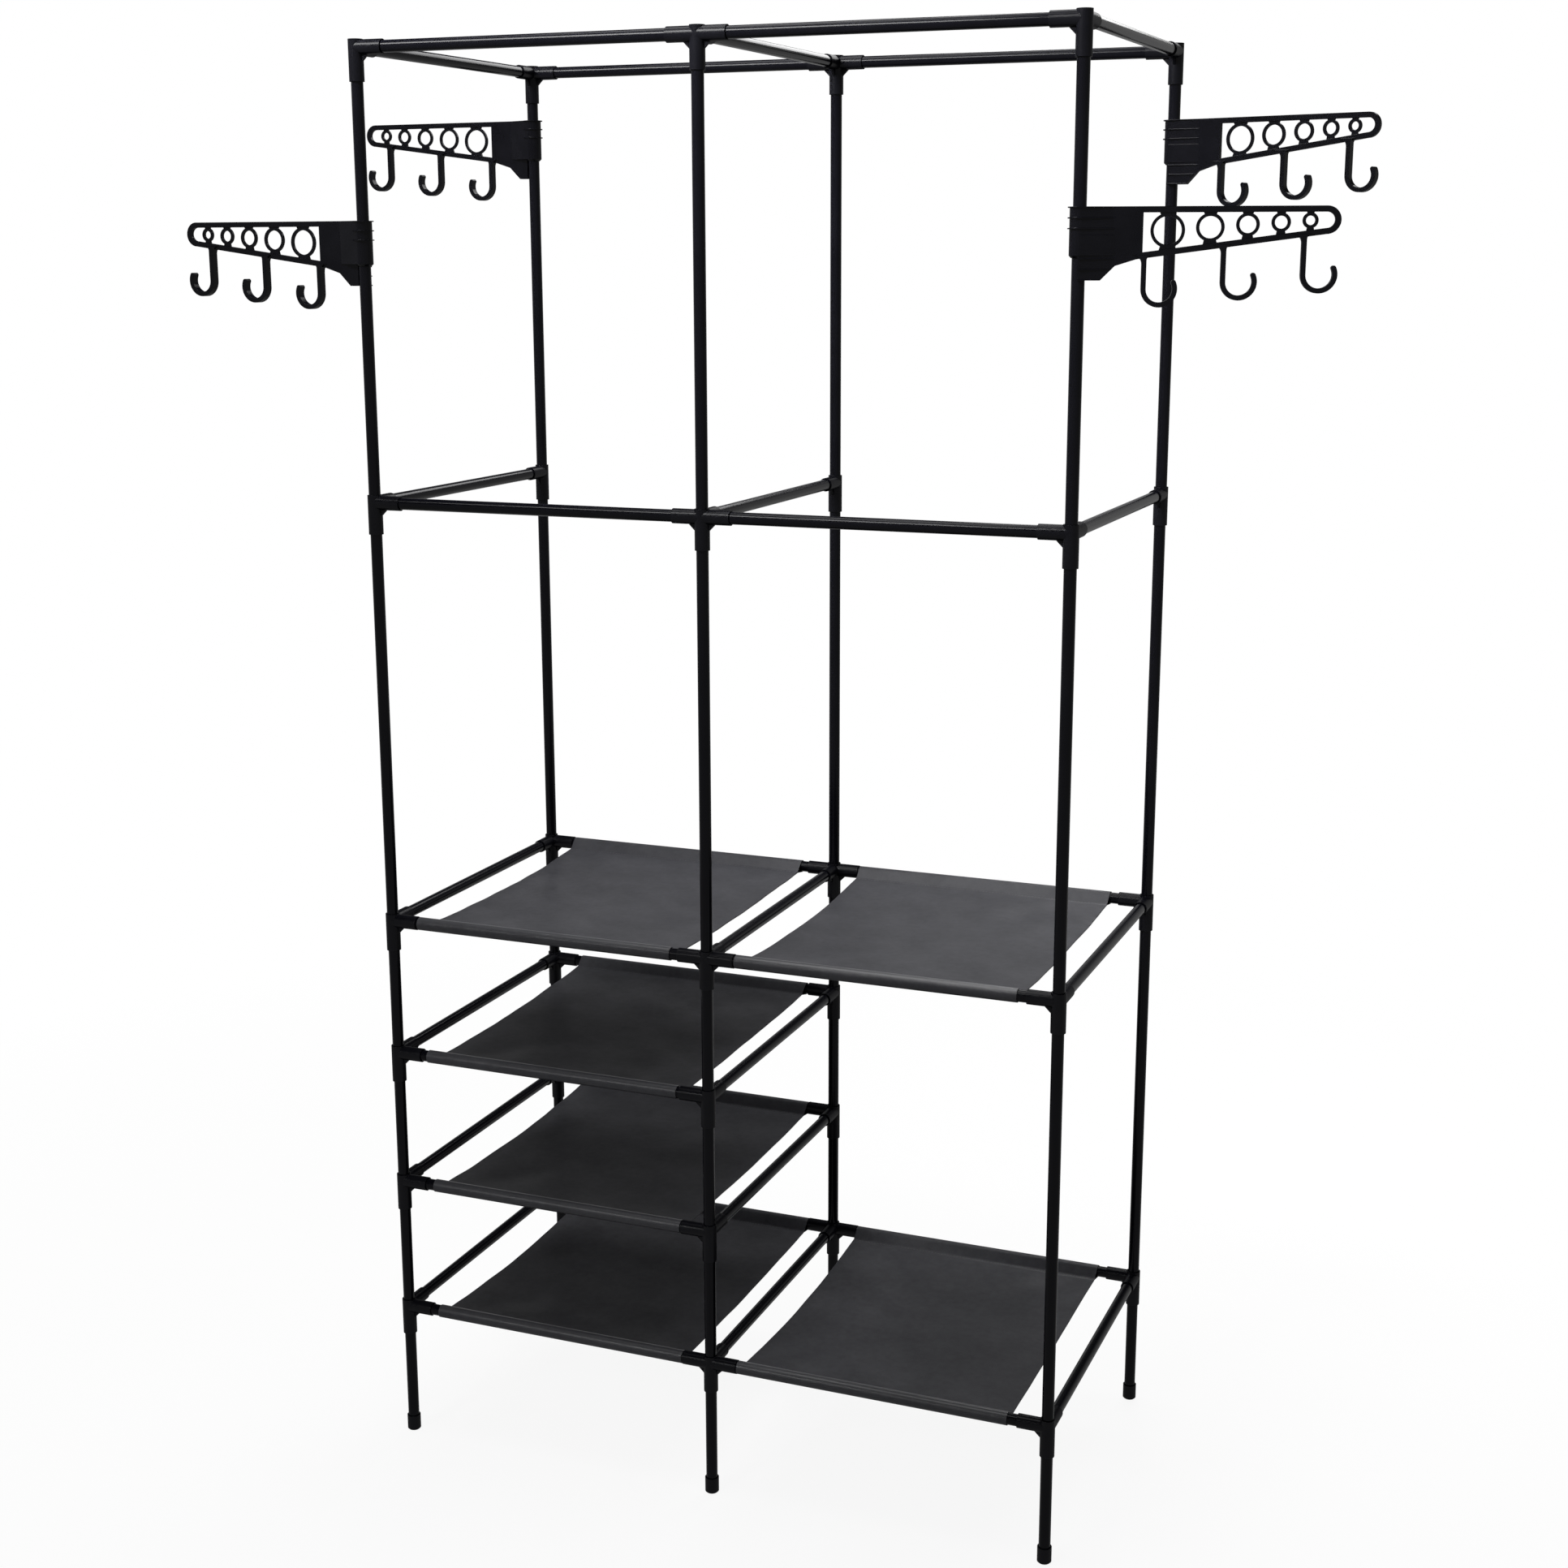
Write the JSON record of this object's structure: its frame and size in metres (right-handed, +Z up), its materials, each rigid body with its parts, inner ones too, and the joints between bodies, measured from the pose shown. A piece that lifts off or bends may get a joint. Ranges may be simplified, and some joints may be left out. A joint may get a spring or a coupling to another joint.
{
  "type": "open frame wardrobe",
  "caption": "Free-standing open wardrobe frame of black tubes plugged into moulded joints, with slung fabric shelves below, hanging bays above and swivelling hook racks on the posts",
  "frame": {"origin": "on the floor, midway between the four corner posts", "axes": "+X to the right along the front, +Y from the front to the back, +Z up"},
  "size_m": [1.3654, 0.456, 1.7347],
  "materials": {
    "tube": "gloss black paint",
    "moulding": "satin black",
    "rack": "satin black",
    "fabric": "matt non-woven cloth"
  },
  "bodies": {
    "frame": {"connectors_bottom_back": "moulding", "connectors_bottom_front": "moulding", "connectors_lower_back": "moulding", "connectors_lower_front": "moulding", "connectors_middle_back": "moulding", "connectors_middle_front": "moulding", "connectors_shelf_top_back": "moulding", "connectors_shelf_top_front": "moulding", "connectors_top_back": "moulding", "connectors_top_front": "moulding", "connectors_upper_back": "moulding", "connectors_upper_front": "moulding", "depth_rails_bottom": "tube", "depth_rails_lower": "tube", "depth_rails_middle": "tube", "depth_rails_shelf_top": "tube", "depth_rails_top": "tube", "depth_rails_upper": "tube", "feet": "moulding", "legs": "tube", "rails_bottom_back": "tube", "rails_bottom_front": "tube", "rails_lower_back": "tube", "rails_lower_front": "tube", "rails_middle_front": "tube", "rails_shelf_top_back": "tube", "rails_shelf_top_front": "tube", "rails_top_back": "tube", "rails_top_front": "tube", "rails_upper_back": "tube", "rails_upper_front": "tube", "shelf_bottom_left": "fabric", "shelf_bottom_right": "fabric", "shelf_lower_left": "fabric", "shelf_shelf_top_left": "fabric", "shelf_shelf_top_right": "fabric", "shelf_upper_left": "fabric", "upright_back_left_lower": "tube", "upright_back_left_middle": "tube", "upright_back_left_upper": "tube", "upright_back_middle_lower": "tube", "upright_back_middle_middle": "tube", "upright_back_middle_upper": "tube", "upright_back_right_lower": "tube", "upright_back_right_middle": "tube", "upright_back_right_upper": "tube", "upright_front_left_lower": "tube", "upright_front_left_middle": "tube", "upright_front_left_upper": "tube", "upright_front_middle_lower": "tube", "upright_front_middle_middle": "tube", "upright_front_middle_upper": "tube", "upright_front_right_lower": "tube", "upright_front_right_middle": "tube", "upright_front_right_upper": "tube"},
    "rack_front_left": {"hook_rack_front_left": "rack"},
    "rack_front_right": {"hook_rack_front_right": "rack"},
    "rack_back_left": {"hook_rack_back_left": "rack"},
    "rack_back_right": {"hook_rack_back_right": "rack"}
  },
  "joints": [
    {"name": "swivel_front_left", "type": "hinge", "parent": "frame", "child": "rack_front_left", "pos_m": [-0.425, -0.212, 1.5339], "axis": [0, 0, 1], "continuous": true},
    {"name": "swivel_front_right", "type": "hinge", "parent": "frame", "child": "rack_front_right", "pos_m": [0.425, -0.212, 1.542], "axis": [0, 0, 1], "continuous": true},
    {"name": "swivel_back_left", "type": "hinge", "parent": "frame", "child": "rack_back_left", "pos_m": [-0.425, 0.212, 1.6664], "axis": [0, 0, 1], "continuous": true},
    {"name": "swivel_back_right", "type": "hinge", "parent": "frame", "child": "rack_back_right", "pos_m": [0.425, 0.212, 1.6481], "axis": [0, 0, 1], "continuous": true}
  ]
}
